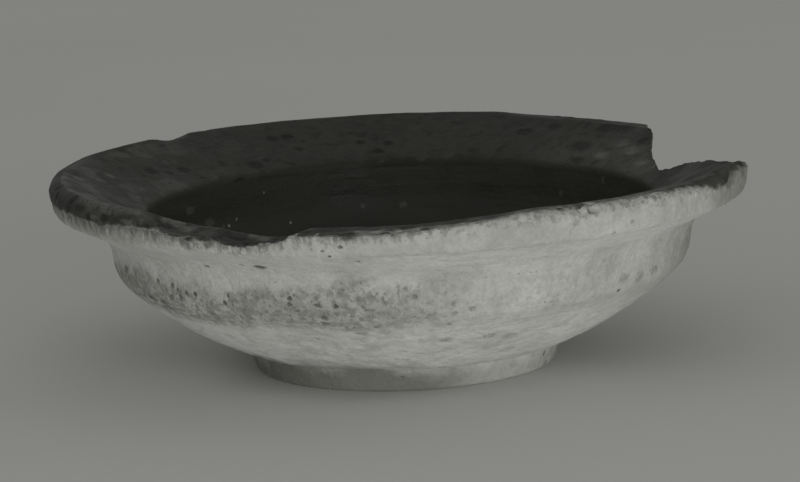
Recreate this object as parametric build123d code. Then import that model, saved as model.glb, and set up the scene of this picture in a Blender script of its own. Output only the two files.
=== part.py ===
from build123d import *
from math import asin, atan2, cos, hypot, radians, sin, sqrt
import os

# A wide bowl with a thick everted rim, a short upright wall and a low foot ring.
# It is fired clay with a dark slip coat inside, and its rim is broken at one side.
# Millimetres. +Z is up, +X is to the right of the viewer, -Y is towards the viewer.
# The origin is the centre of the foot's resting face.
# Sections are drawn as (distance from the axis, height) and turned about Z.

# Driving sizes of the whole vessel
rim_radius = 70.0
bowl_height = 40.7

# Foot ring
foot_height = 5.0
foot_rest_radius = 30.2
foot_rest_width = 3.6
foot_seat_width = 6.4
foot_taper = 1.8
foot_edge_round = 0.7

# Rim, a thick collar that flares outwards from the wall to a rounded crest
rim_height = 13.7
flare_width = 19.0
flare_drop = 7.9
crest_round = 2.4
lip_face_height = 6.5
lip_undercut = 0.7
lip_bottom_round = 1.5
ledge_round = 0.9
wall_lean = 0.4
wall_thickness = 7.9
underside_bend_width = 1.7
underside_bend_height = 2.8
underside_bend_round = 5.0

# Clay body, from the underside to the plane where the rim is set on
foot_step = 1.6
lower_wall_bulge = 1.5
upright_wall_height = 6.4
upright_wall_lean = 1.0
carination_round = 7.0
floor_thickness = 4.8
inner_floor_radius = 27.0
underside_boss_radius = 5.0
underside_boss_height = 0.7

# Places that follow from those sizes
foot_seat_radius = foot_rest_radius + foot_taper
base_radius = foot_seat_radius + foot_step
rim_joint_height = bowl_height - rim_height
ledge_radius = rim_radius - flare_width
ledge_height = bowl_height - flare_drop
wall_inner_radius = ledge_radius - wall_lean
neck_radius = wall_inner_radius + wall_thickness
carination_radius = neck_radius - upright_wall_lean
carination_height = rim_joint_height - upright_wall_height
inner_floor_height = foot_height + floor_thickness
crest_centre_radius = rim_radius - crest_round
crest_centre_height = bowl_height - crest_round

# Slip coat, drawn thicker than a real one so that it is a solid of its own
slip_thickness = 0.25
slip_lap = 5.0
slip_lap_start_angle = 140
slip_lap_sweep = 118
wall_slope = wall_lean / (ledge_height - rim_joint_height)
slip_split_height = ledge_height - ledge_round
slip_split_radius = wall_inner_radius + wall_slope * (slip_split_height - rim_joint_height)

# Break at the right of the rim, seen from above. Each point is an angle in degrees
# about the axis, then how far in from the rim's edge the fracture lies as a share of
# the flare's width, level with the crest and level with the rim's seat. The points run
# from the viewer's side to the far side.
break_edge_shares = [
    (1.5, -0.074, -0.074),
    (0.0, 0.136, 0.092),
    (1.0, 0.359, 0.184),
    (1.6, 0.474, 0.350),
    (6.5, 0.592, 0.405),
    (8.9, 0.745, 0.440),
    (10.4, 0.896, 0.486),
    (13.7, 0.994, 0.534),
    (16.1, 1.037, 0.534),
    (18.4, 0.989, 0.534),
    (21.4, 0.829, 0.534),
    (25.4, 0.705, 0.534),
    (26.7, 0.637, 0.534),
    (29.1, 0.500, 0.534),
    (30.0, 0.430, 0.525),
    (31.6, 0.315, 0.490),
    (34.2, 0.237, 0.400),
    (35.7, 0.207, 0.320),
    (37.4, 0.200, 0.240),
    (39.0, 0.110, 0.120),
    (40.5, -0.074, -0.074),
]
break_outside_shares = [(40.5, -0.92, -0.92), (21.0, -1.66, -1.66), (1.5, -0.92, -0.92)]

# Shell-shaped scars on the lip. Each is an angle about the axis, how far the blow leans
# outwards from the vertical, how deep the scar is and how long it is along the rim.
chips = {
    "near_long_wear": (257, 0, 2.6, 80.0),
    "near_left_worn_stretch": (234, -8, 4.1, 24.0),
    "near_left_outer_flake": (234, 35, 3.0, 11.0),
    "near_left_inner_flake": (244.5, -25, 5.3, 24.0),
    "near_left_deep_flake": (249.7, 5, 4.1, 11.0),
    "right_notch": (-23.5, 35, 2.6, 8.0),
    "right_worn_end": (-1.5, 2, 2.4, 34.0),
    "right_end_corner": (-2, 50, 1.5, 10.0),
    "right_face_spall": (-13, 80, 0.9, 13.0),
    "far_left_nick": (136, 10, 1.1, 11.5),
    "far_right_worn_stretch": (41, 0, 1.2, 76.0),
}

overrun = 1.0


def section(*edges):
    """Closed section in the XZ plane from edges that run end to end."""
    return make_face(Plane.XZ * (Curve() + list(edges)))


def corner_at(face, radius, height):
    """Corner of a section that lies nearest to a place."""
    place = Vector(radius, 0, height)
    return min(face.vertices(), key=lambda corner: (Vector(*corner) - place).length)


def rounded(face, corners):
    """Section with each listed corner (radius, height, round) rounded."""
    for radius, height, size in corners:
        face = fillet(corner_at(face, radius, height), size)
    return face


def inside_section(coat=0):
    """Inside of the bowl up to the ledge, or that space drawn in by a coat's thickness."""
    seat = (wall_inner_radius - coat, rim_joint_height)
    floor_edge = (inner_floor_radius, inner_floor_height + coat)
    wall_top = (slip_split_radius - coat, slip_split_height)
    curve = EllipticalCenterArc(
        (inner_floor_radius, rim_joint_height),
        seat[0] - floor_edge[0],
        seat[1] - floor_edge[1],
        start_angle=-90,
        arc_size=90,
    )
    return section(
        Line((0, floor_edge[1]), floor_edge),
        curve,
        Polyline(seat, wall_top, (0, slip_split_height), (0, floor_edge[1])),
    )


def body_section():
    """Floor, curved lower wall, carination and upright wall, hollowed from inside."""
    base = (base_radius, foot_height)
    carination = (carination_radius, carination_height)
    middle_radius = (base_radius + carination_radius) / 2
    middle_height = (foot_height + carination_height) / 2 - lower_wall_bulge
    outline = section(
        Line((0, foot_height), base),
        ThreePointArc(base, (middle_radius, middle_height), carination),
        Polyline(
            carination, (neck_radius, rim_joint_height), (0, rim_joint_height), (0, foot_height)
        ),
    )
    return rounded(outline, [(*carination, carination_round)]) - inside_section()


def flare_end():
    """Place where the straight flare runs into the rounded crest."""
    run = crest_centre_radius - ledge_radius
    rise = crest_centre_height - ledge_height
    span = hypot(run, rise)
    slope = atan2(rise, run) + asin(crest_round / span)
    length = sqrt(span**2 - crest_round**2)
    return (ledge_radius + length * cos(slope), ledge_height + length * sin(slope))


def rim_section():
    """Thick collar from its seat on the wall to the rounded crest and back underneath."""
    seat = (wall_inner_radius, rim_joint_height)
    ledge = (ledge_radius, ledge_height)
    lip_bottom = (rim_radius - lip_undercut, bowl_height - lip_face_height)
    bend = (neck_radius + underside_bend_width, rim_joint_height + underside_bend_height)
    lip_top = (rim_radius, crest_centre_height)
    face = section(
        Polyline(seat, ledge, flare_end()),
        ThreePointArc(flare_end(), (crest_centre_radius, bowl_height), lip_top),
        Polyline(lip_top, lip_bottom, bend, (neck_radius, rim_joint_height), seat),
    )
    return rounded(
        face,
        [
            (*ledge, ledge_round),
            (*lip_bottom, lip_bottom_round),
            (*bend, underside_bend_round),
        ],
    )


def foot_section():
    """Low ring that widens upwards to its seat under the body."""
    rest_inner = foot_rest_radius - foot_rest_width
    seat_inner = foot_seat_radius - foot_seat_width
    face = section(
        Polyline(
            (rest_inner, 0),
            (foot_rest_radius, 0),
            (foot_seat_radius, foot_height),
            (seat_inner, foot_height),
            close=True,
        )
    )
    return rounded(
        face, [(rest_inner, 0, foot_edge_round), (foot_rest_radius, 0, foot_edge_round)]
    )


def coat_section(clay, picked):
    """Skin of slip on the outside of a clay section, kept where it is picked."""
    return (offset(clay, slip_thickness) - clay) & picked


def turned(face, start=0, sweep=360):
    """Solid turned from a section about the vertical axis."""
    return Rot(0, 0, start) * revolve(face, Axis.Z, sweep)


def break_outline(inward_shares, height):
    """Outline of the broken-out place at a height, from its shares of the flare's width."""
    points = []
    for angle, inward_share in inward_shares:
        reach = rim_radius - flare_width * inward_share
        points.append((reach * cos(radians(angle)), reach * sin(radians(angle))))
    return Pos(0, 0, height) * make_face(Polyline(*points, close=True))


def break_tool():
    """Faceted block that leaves a leaning fracture through the thick rim."""
    rows = break_edge_shares + break_outside_shares
    at_crest = [(angle, crest_share) for angle, crest_share, seat_share in rows]
    at_seat = [(angle, seat_share) for angle, crest_share, seat_share in rows]
    upper = break_outline(at_crest, bowl_height + overrun)
    lower = break_outline(at_seat, rim_joint_height - overrun)
    return loft([upper, lower], ruled=True)


def scar(angle, lean, depth, length):
    """Ball that leaves a shell-shaped scar of a given depth and length on the lip."""
    radius = (length**2 / 4 + depth**2) / (2 * depth)
    reach = crest_round - depth + radius
    crest_centre = Pos(crest_centre_radius, 0, crest_centre_height)
    blow = Pos(reach * sin(radians(lean)), 0, reach * cos(radians(lean)))
    return Rot(0, 0, angle) * crest_centre * blow * Sphere(radius)


def damage():
    """Everything that has broken away from the rim."""
    return [break_tool()] + [scar(*sizes) for sizes in chips.values()]


def bowl_body():
    """Floor and wall, with the low turned boss under the middle of the floor."""
    boss = Pos(0, 0, foot_height) * Cylinder(
        underside_boss_radius,
        underside_boss_height,
        align=(Align.CENTER, Align.CENTER, Align.MAX),
    )
    return turned(body_section()) + boss


def rim(lost):
    """Everted rim with its break and chips."""
    return turned(rim_section()) - lost


def foot_ring():
    """Ring that the bowl stands on."""
    return turned(foot_section())


def interior_slip():
    """Dark coat over the floor and wall, up to the ledge inside the rim."""
    return turned(inside_section() - inside_section(slip_thickness))


def rim_slip(lost):
    """Worn coat over the ledge, the flare and the inner half of the crest."""
    above_flare = section(
        Polyline(
            (0, slip_split_height),
            (slip_split_radius, slip_split_height),
            (crest_centre_radius, bowl_height - slip_lap),
            (crest_centre_radius, bowl_height + overrun),
            (0, bowl_height + overrun),
            close=True,
        )
    )
    return turned(coat_section(rim_section(), above_flare)) - lost


def lip_slip(lost):
    """Coat lapped over the outer half of the lip, left on the near left side only."""
    lap = section(
        Polyline(
            (crest_centre_radius, bowl_height - slip_lap),
            (rim_radius + overrun, bowl_height - slip_lap),
            (rim_radius + overrun, bowl_height + overrun),
            (crest_centre_radius, bowl_height + overrun),
            close=True,
        )
    )
    coat = turned(coat_section(rim_section(), lap), slip_lap_start_angle, slip_lap_sweep)
    return coat - lost


def build():
    """Every sub-part by name."""
    lost = damage()
    return {
        "bowl_body": bowl_body(),
        "rim": rim(lost),
        "foot_ring": foot_ring(),
        "interior_slip": interior_slip(),
        "rim_slip": rim_slip(lost),
        "lip_slip": lip_slip(lost),
    }


os.makedirs("parts", exist_ok=True)
for name, shape in build().items():
    export_step(shape, f"parts/{name}.step")
    print(name, len(shape.solids()), "solid,", round(shape.volume), "mm3")
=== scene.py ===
# %% [markdown]
# # A broken footed bowl of fired clay
# The object is a wide, shallow table bowl, thrown on a wheel. It has a thick rim that turns
# outwards, a short upright wall, a curved lower wall and a low foot ring. Its inside was
# coated with dark slip, a thin wash of fine clay. It lay in the ground for a long time: a
# piece of the rim is lost, the edge is chipped, and the outside is pitted and pale.
#
# The CAD model gives the sizes. It is loaded first, and it stays fixed: every piece made
# here stands for one of its nodes and keeps to its place.

# %% Load the CAD model
import math
import random

import bpy
import numpy as np
from mathutils import Matrix, Vector


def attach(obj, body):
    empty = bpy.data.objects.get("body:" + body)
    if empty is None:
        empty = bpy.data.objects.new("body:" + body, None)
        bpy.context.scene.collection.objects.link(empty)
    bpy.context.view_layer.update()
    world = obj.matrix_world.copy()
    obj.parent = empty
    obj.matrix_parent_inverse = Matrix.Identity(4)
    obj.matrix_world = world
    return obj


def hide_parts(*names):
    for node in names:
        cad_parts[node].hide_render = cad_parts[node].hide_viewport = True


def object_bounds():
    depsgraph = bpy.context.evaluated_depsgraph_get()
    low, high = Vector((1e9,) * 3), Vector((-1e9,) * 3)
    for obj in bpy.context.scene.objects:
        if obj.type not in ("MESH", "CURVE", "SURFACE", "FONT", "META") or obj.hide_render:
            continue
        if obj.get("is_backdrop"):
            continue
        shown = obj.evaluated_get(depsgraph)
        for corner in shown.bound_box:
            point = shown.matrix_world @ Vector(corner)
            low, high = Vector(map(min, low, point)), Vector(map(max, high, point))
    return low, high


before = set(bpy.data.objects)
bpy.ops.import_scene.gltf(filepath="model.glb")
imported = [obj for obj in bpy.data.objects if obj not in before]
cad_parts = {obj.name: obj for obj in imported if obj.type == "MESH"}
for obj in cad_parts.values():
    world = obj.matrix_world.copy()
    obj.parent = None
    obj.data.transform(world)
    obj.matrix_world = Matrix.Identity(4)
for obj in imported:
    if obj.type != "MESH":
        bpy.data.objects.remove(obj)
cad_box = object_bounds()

MM = 0.001
scene = bpy.context.scene
print("CAD nodes:", sorted(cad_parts))
print("CAD box in mm:", [tuple(round(v / MM, 1) for v in corner) for corner in cad_box])

# %% [markdown]
# ## Camera
# The photograph was taken with a long lens from a little above the rim, and the print is
# turned by about two degrees, so that the right side of the bowl stands higher. The same
# view is set up here from those facts: how high the camera looks from, how far away it is,
# how wide a millimetre is in the picture, and where the bowl's axis falls in the frame.

# %% Set up the camera
FRAME_WIDTH, FRAME_HEIGHT = 800, 482
SENSOR_WIDTH = 36.0
MM_PER_PIXEL = 0.2017
CAMERA_DISTANCE_PIXELS = 3500
LOOK_DOWN = math.radians(10.5)
PRINT_TURN = math.radians(2.3)
AIM_HEIGHT = 20.17 * MM
AIM_IN_PICTURE = (402.5, 261.2)

pixel = MM_PER_PIXEL * MM
looking = Vector((0, math.cos(LOOK_DOWN), -math.sin(LOOK_DOWN)))
upwards = Vector((0, math.sin(LOOK_DOWN), math.cos(LOOK_DOWN)))
sideways = Vector((1, 0, 0))
picture_right = sideways * math.cos(PRINT_TURN) - upwards * math.sin(PRINT_TURN)
picture_up = upwards * math.cos(PRINT_TURN) + sideways * math.sin(PRINT_TURN)
aim = Vector((0, 0, AIM_HEIGHT))
eye = aim - looking * CAMERA_DISTANCE_PIXELS * pixel
right_of_aim = FRAME_WIDTH / 2 - AIM_IN_PICTURE[0]
above_aim = AIM_IN_PICTURE[1] - FRAME_HEIGHT / 2
frame_centre = aim + (picture_right * right_of_aim + picture_up * above_aim) * pixel

backwards = (eye - frame_centre).normalized()
right_axis = (picture_right - backwards * picture_right.dot(backwards)).normalized()
up_axis = backwards.cross(right_axis)
camera_data = bpy.data.cameras.new("photo_view")
camera_data.sensor_width = SENSOR_WIDTH
camera_data.lens = CAMERA_DISTANCE_PIXELS / FRAME_WIDTH * SENSOR_WIDTH
camera = bpy.data.objects.new("photo_view", camera_data)
camera.matrix_world = Matrix.Translation(eye) @ Matrix(
    (right_axis, up_axis, backwards)
).transposed().to_4x4()
scene.collection.objects.link(camera)
scene.camera = camera
print("camera", round(eye.length / MM), "mm away, lens", round(camera_data.lens, 1), "mm")


# %% [markdown]
# ## Helpers for working as by hand
# An operator acts on what is selected. These helpers leave exactly the wanted objects, or
# the wanted corners and faces of one mesh, selected before the next operator runs.

# %% Helpers
def take(*pieces):
    """Selects these objects alone, the first one active, in object mode."""
    if bpy.context.object and bpy.context.object.mode != "OBJECT":
        bpy.ops.object.mode_set(mode="OBJECT")
    bpy.ops.object.select_all(action="DESELECT")
    for piece in pieces:
        piece.select_set(True)
    bpy.context.view_layer.objects.active = pieces[0]


def values_of(elements, name, width=1, kind=float):
    """One property of all the elements of a mesh, with a row each if it is a vector."""
    values = np.empty(len(elements) * width, kind)
    elements.foreach_get(name, values)
    return values.reshape(-1, width) if width > 1 else values


def corners_of(piece):
    """Places of a mesh's corners, in millimetres."""
    return values_of(piece.data.vertices, "co", 3) / MM


def faces_of(piece):
    """Centres, in millimetres, and normals of a mesh's faces."""
    faces = piece.data.polygons
    return values_of(faces, "center", 3) / MM, values_of(faces, "normal", 3)


def reach_of(places):
    """Distance of each place from the vessel's axis."""
    return np.hypot(places[:, 0], places[:, 1])


def edit_with(piece, kind, wanted=True):
    """Enters edit mode with the wanted corners (VERT) or faces (FACE), or all, selected."""
    take(piece)
    mesh = piece.data
    for elements in (mesh.vertices, mesh.edges, mesh.polygons):
        elements.foreach_set("select", np.zeros(len(elements), bool))
    elements = mesh.vertices if kind == "VERT" else mesh.polygons
    elements.foreach_set("select", np.zeros(len(elements), bool) | wanted)
    scene.tool_settings.mesh_select_mode = (kind == "VERT", False, kind == "FACE")
    bpy.ops.object.mode_set(mode="EDIT")
    bpy.ops.mesh.select_mode(type=kind)


def to_object_mode():
    bpy.ops.object.mode_set(mode="OBJECT")


def apply_modifier(piece, kind, **settings):
    """Adds a modifier with these settings and applies it."""
    take(piece)
    modifier = piece.modifiers.new(kind.lower(), kind)
    for setting, value in settings.items():
        setattr(modifier, setting, value)
    bpy.ops.object.modifier_apply(modifier=modifier.name)


def draw(kind, **settings):
    """A primitive mesh, selected alone."""
    bpy.ops.object.select_all(action="DESELECT")
    getattr(bpy.ops.mesh, f"primitive_{kind}_add")(**settings)
    return bpy.context.object


def copy_of(piece, name):
    """A copy with its own mesh."""
    made = piece.copy()
    made.data = piece.data.copy()
    made.name = made.data.name = name
    scene.collection.objects.link(made)
    return made


def facts(piece):
    triangles = sum(len(face.vertices) - 2 for face in piece.data.polygons)
    size = np.ptp(corners_of(piece), axis=0)
    print(f"{piece.name}: {triangles} triangles, {size.round(1)} mm")


# %% [markdown]
# ## The vessel's section
# A thrown bowl is one section turned about an axis, so the section comes first: half of a
# slice through the clay, as places (distance from the axis, height) in millimetres. It runs
# from the middle of the underside outwards over the foot, up the wall, round the rim and
# back to the middle of the floor. Rounded places are arcs through three points.

# %% Draw the section
def arc(start, middle, end, steps):
    """Places along the arc through three places, without its start."""
    (ax, ay), (bx, by), (cx, cy) = start, middle, end
    d = 2 * (ax * (by - cy) + bx * (cy - ay) + cx * (ay - by))
    ux = (ax**2 + ay**2) * (by - cy) + (bx**2 + by**2) * (cy - ay) + (cx**2 + cy**2) * (ay - by)
    uy = (ax**2 + ay**2) * (cx - bx) + (bx**2 + by**2) * (ax - cx) + (cx**2 + cy**2) * (bx - ax)
    centre = Vector((ux / d, uy / d))
    first, last = Vector(start) - centre, Vector(end) - centre
    sweep = first.angle_signed(last)
    turns = [-sweep * i / steps for i in range(1, steps + 1)]
    return [tuple(centre + Matrix.Rotation(turn, 2) @ first) for turn in turns]


def run(start, end, steps):
    """Places along a straight run, without its start."""
    return [tuple(Vector(start).lerp(Vector(end), i / steps)) for i in range(1, steps + 1)]


# each stretch goes on from the last place: an arc has a middle, a straight run has none
stretches = [
    # underside and foot ring
    ((25.6, 5.0), 10), ((26.487, 0.563), 4), ((26.73, 0.159), (27.174, 0), 3),
    ((29.708, 0), 2), ((30.111, 0.127), (30.367, 0.463), 3), ((32.0, 5.0), 4),
    # lower wall, carination and upright wall
    ((33.6, 5.0), 2), ((45.154, 11.049), (55.595, 18.865), 20),
    ((57.102, 20.75), (57.88, 23.034), 5), ((58.5, 27.0), 4), ((59.433, 28.537), 2),
    # underside of the rim, lip and flare
    ((60.344, 29.642), (61.53, 30.443), 3), ((68.604, 33.864), 7),
    ((69.15, 34.313), (69.43, 34.962), 3), ((70, 38.3), 4),
    ((68.868, 40.338), (66.54, 40.453), 8), ((51.465, 33.029), 14),
    ((51.115, 32.723), (50.964, 32.283), 3),
    # inner wall
    ((50.6, 27.0), 5),
]
section = [(2.5, 4.3), (4.6, 4.3), (5.0, 4.45), (5.0, 5.0)]
start = section[-1]
for *middle, end, steps in stretches:
    section += arc(start, *middle, end, steps) if middle else run(start, end, steps)
    start = end

# a quarter of an ellipse leads from the wall round into the floor
CURVE_MIDDLE, CURVE_REACH, CURVE_DEPTH, CURVE_STEPS = (27, 27), 23.6, 17.2, 26
section += [
    (CURVE_MIDDLE[0] + CURVE_REACH * math.cos(turn), CURVE_MIDDLE[1] - CURVE_DEPTH * math.sin(turn))
    for turn in (math.radians(90 * i / CURVE_STEPS) for i in range(1, CURVE_STEPS + 1))
]
section += run((27, 9.8), (2.5, 9.8), 12)
print("section:", len(section), "places, widest at", max(section)[0], "mm")

# %% [markdown]
# ## Turn the clay
# A circle is extruded ring by ring: each new ring is made from the last one, resized to the
# next distance from the axis and lifted to the next height. It is how the shape grows on
# the wheel, and it gives clean rings of faces.

# %% Extrude the rings
SEGMENTS = 240

vessel = draw("circle", vertices=SEGMENTS, radius=section[0][0] * MM, fill_type="TRIFAN")
vessel.name = "whole_vessel"
edit_with(vessel, "VERT", reach_of(corners_of(vessel)) > section[0][0] / 2)
for (radius, height), (next_radius, next_height) in zip(section, section[1:]):
    growth = next_radius / radius
    rise = (0, 0, (next_height - height) * MM)
    bpy.ops.mesh.extrude_edges_move(TRANSFORM_OT_translate={"value": rise})
    bpy.ops.transform.resize(value=(growth, growth, 1), center_override=(0, 0, 0))
bpy.ops.mesh.edge_face_add()
bpy.ops.mesh.poke()
bpy.ops.mesh.select_all(action="SELECT")
bpy.ops.transform.translate(value=(0, 0, section[0][1] * MM))
bpy.ops.mesh.normals_make_consistent(inside=False)
to_object_mode()
facts(vessel)

# %% [markdown]
# ## Knock out the lost piece of the rim
# The lost piece left a leaning, faceted fracture through the thick rim. A block is made in
# its shape: the outline at the crest is traced corner by corner, filled, extruded down to
# just below the rim's joint, and each lower corner is then moved to where the fracture runs
# there. Its walls stay flat: the grain of broken clay comes later, when the whole surface is
# displaced. A Boolean modifier takes the block away from the vessel.

# %% Trace the break
BREAK_TOP, BREAK_FOOT = 41.7, 26.0
# angle about the axis, distance from it at the crest, and at the rim's seat
break_places = [
    (1.5, 71.4, 71.4), (0.0, 67.4, 68.3), (1.0, 63.2, 66.5), (1.6, 61.0, 63.4),
    (6.5, 58.8, 62.3), (8.9, 55.8, 61.6), (10.4, 53.0, 60.8), (13.7, 51.1, 59.9),
    (16.1, 50.3, 59.9), (18.4, 51.2, 59.9), (21.4, 54.2, 59.9), (25.4, 56.6, 59.9),
    (26.7, 57.9, 59.9), (29.1, 60.5, 59.9), (30.0, 61.8, 60.0), (31.6, 64.0, 60.7),
    (34.2, 65.5, 62.4), (35.7, 66.1, 63.9), (37.4, 66.2, 65.4), (39.0, 67.9, 67.7),
    (40.5, 71.4, 71.4), (40.5, 87.5, 87.5), (21.0, 101.5, 101.5), (1.5, 87.5, 87.5),
]


def at(angle, reach, height):
    """Place at an angle in degrees about the axis, in metres."""
    turn = math.radians(angle)
    return Vector((reach * math.cos(turn), reach * math.sin(turn), height)) * MM


block = draw("plane", size=MM)
block.name = "lost_piece"
bpy.ops.object.mode_set(mode="EDIT")
bpy.ops.mesh.select_mode(type="VERT")
bpy.ops.mesh.select_all(action="SELECT")
bpy.ops.mesh.merge(type="CENTER")
place = at(break_places[0][0], break_places[0][1], BREAK_TOP)
bpy.ops.transform.translate(value=place)
for angle, reach, _ in break_places[1:]:
    next_place = at(angle, reach, BREAK_TOP)
    bpy.ops.mesh.extrude_vertices_move(TRANSFORM_OT_translate={"value": next_place - place})
    place = next_place
bpy.ops.mesh.select_all(action="SELECT")
bpy.ops.mesh.edge_face_add()
drop = (0, 0, (BREAK_FOOT - BREAK_TOP) * MM)
bpy.ops.mesh.extrude_region_move(TRANSFORM_OT_translate={"value": drop})
to_object_mode()
for angle, reach, low_reach in break_places:
    below = at(angle, reach, BREAK_FOOT)
    away = np.linalg.norm(corners_of(block) - np.array(below) / MM, axis=1)
    edit_with(block, "VERT", away == away.min())
    bpy.ops.transform.translate(value=at(angle, low_reach, BREAK_FOOT) - below)
    to_object_mode()
edit_with(block, "VERT")
bpy.ops.mesh.normals_make_consistent(inside=False)
bpy.ops.mesh.quads_convert_to_tris()
to_object_mode()
facts(block)


# %% [markdown]
# ## Take material away
# One helper cuts any tool out of the vessel and clears the tool away.

# %% Cut the break
def cut_away(vessel, tool):
    apply_modifier(vessel, "BOOLEAN", operation="DIFFERENCE", object=tool, solver="MANIFOLD")
    bpy.data.objects.remove(tool)


cut_away(vessel, block)
facts(vessel)

# %% [markdown]
# ## Chips
# A blow on a hard edge splits off a shell-shaped flake, and the scar it leaves is part of a
# ball. Each scar is given by its angle about the axis, how far the blow leans outwards,
# how deep it went, and how long the scar is along the rim. A long, shallow one is a worn
# stretch. The balls are ordinary ico spheres.

# %% Strike the larger chips
CREST_ROUND, CREST_REACH, CREST_HEIGHT = 2.4, 67.6, 38.3
COARSE_BALL, FINE_BALL, LONG_SCAR = 5, 6, 20
# angle about the axis, lean outwards, depth and length
large_chips = [
    (257, 0, 2.6, 80.0), (234, -8, 4.1, 24.0), (234, 35, 3.0, 11.0), (244.5, -25, 5.3, 24.0),
    (249.7, 5, 4.1, 11.0), (-23.5, 35, 2.6, 8.0), (-1.5, 2, 2.8, 36.0), (-2, 50, 1.5, 10.0),
    (-13, 80, 0.9, 13.0), (136, 10, 1.1, 11.5), (41, 0, 1.2, 76.0),
]


def ball(centre, radius, detail, stretch=(1, 1, 1)):
    """Ball drawn at a place, in metres, stretched about its middle."""
    made = draw("ico_sphere", subdivisions=detail, radius=radius)
    bpy.ops.object.mode_set(mode="EDIT")
    bpy.ops.transform.resize(value=stretch)
    bpy.ops.transform.translate(value=centre)
    to_object_mode()
    return made


for angle, lean, depth, length in large_chips:
    radius = (length**2 / 4 + depth**2) / (2 * depth)
    reach = CREST_ROUND - depth + radius
    lean = math.radians(lean)
    centre = at(angle, CREST_REACH + reach * math.sin(lean), CREST_HEIGHT + reach * math.cos(lean))
    cut_away(vessel, ball(centre, radius * MM, FINE_BALL if length > LONG_SCAR else COARSE_BALL))
facts(vessel)

# %% [markdown]
# The edge is also nibbled all along the viewer's side, where pits of one or two millimetres
# follow each other, and more thinly elsewhere. They are struck at places drawn by lot, with
# balls drawn a little uneven, and with a fixed seed, so that the bowl comes out the same
# each time. All the balls are first joined into one tool by a voxel remesh.

# %% Strike the small chips
random.seed(21)
small_chips = []
# from one angle to another, and how many chips are struck there
crowds = ((-150, -20, 90), (45, 175, 26), (-178, -150, 8))
for low, high, count in crowds:
    for _ in range(count):
        turn = random.uniform(low, high)
        lean = math.radians(random.uniform(15, 100))
        radius = random.uniform(0.5, 1.5)
        sunk = CREST_ROUND + radius * random.uniform(0.45, 0.85)
        centre = at(turn, CREST_REACH + sunk * math.sin(lean), CREST_HEIGHT + sunk * math.cos(lean))
        stretch = [random.uniform(0.7, 1.5) for _ in range(3)]
        small_chips.append(ball(centre, radius * MM, 2, stretch))
take(*small_chips)
bpy.ops.object.join()
CHIP_VOXEL = 0.25
apply_modifier(small_chips[0], "REMESH", mode="VOXEL", voxel_size=CHIP_VOXEL * MM)
cut_away(vessel, small_chips[0])
facts(vessel)

# %% [markdown]
# ## Even out the mesh
# Wear and pits need small faces everywhere, also on the fracture. A voxel remesh lays an
# even net of half a millimetre over the whole surface and rounds the sharp edges a little,
# as handling has done on the real bowl.

# %% Remesh
VOXEL = 0.5
apply_modifier(vessel, "REMESH", mode="VOXEL", voxel_size=VOXEL * MM)
apply_modifier(vessel, "SMOOTH", factor=0.5, iterations=2)
facts(vessel)

# %% [markdown]
# ## How much is lost at each place
# Later steps have to know what is old surface and what is broken clay. Every corner is
# compared with the section: the distance by which it lies inside that line is kept on the
# mesh as an attribute, in millimetres, which the materials read as well.

# %% Measure the loss
def depth_below(places, line):
    """How far each place (distance from the axis, height) lies from a line of places."""
    line = np.array(line)
    nearest = np.full(len(places), np.inf)
    for start, end in zip(line, line[1:]):
        along = end - start
        share = np.clip((places - start) @ along / (along @ along), 0, 1)
        away = np.linalg.norm(places - start - share[:, None] * along, axis=1)
        nearest = np.minimum(nearest, away)
    return nearest


def keep_on_mesh(name, values):
    """Keeps a number for each corner of the vessel where the materials can read it."""
    attribute = vessel.data.attributes.new(name, "FLOAT", "POINT")
    attribute.data.foreach_set("value", values.astype(np.float32))


corners = corners_of(vessel)
profile = np.column_stack((reach_of(corners), corners[:, 2]))
closed = [(0, section[0][1])] + section + [(0, section[-1][1])]
loss = depth_below(profile, closed)
keep_on_mesh("loss", loss)
print("corners on broken clay:", int((loss > 0.5).sum()), "of", len(loss))

# %% [markdown]
# ## Wear, pits and grain in the shape
# Four Displace modifiers move the surface along its normals. Vertex groups say where each
# one acts: soft dents all over, pits on the outside, a coarse grain on broken clay, and
# nibbles along the edge. They mostly go inwards, because wear only takes clay away.

# %% Displace the surface
def weights(name, values):
    """Vertex group with a weight for each corner of the vessel, in steps of a tenth."""
    group = vessel.vertex_groups.new(name=name)
    steps = np.round(np.clip(values, 0, 1) * 10).astype(int)
    for step in range(1, 11):
        group.add([int(i) for i in np.flatnonzero(steps == step)], step / 10, "REPLACE")


def dents(name, size, depth, level, detail, group):
    """Displaces the vessel by a cloud of a size and depth in millimetres."""
    texture = bpy.data.textures.new(name, "CLOUDS")
    texture.noise_scale, texture.noise_depth = size * MM, detail
    apply_modifier(
        vessel, "DISPLACE", texture=texture, texture_coords="LOCAL",
        strength=depth * MM, mid_level=level, vertex_group=group,
    )
    bpy.data.textures.remove(texture)


def rises(values, start, width):
    """From 0 to 1 over a width that begins at a start."""
    return np.clip((values - start) / width, 0, 1)


WALL_TOP, WALL_REACH, LOWER_WALL_TOP, FOOT_REACH = 39.5, 57.2, 19, 25
# a slanting line through the clay parts the lower wall's outside from its inside
SLANT, SLANT_DROP = 0.62, 12.5
FAR_SHARE = 0.2

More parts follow.
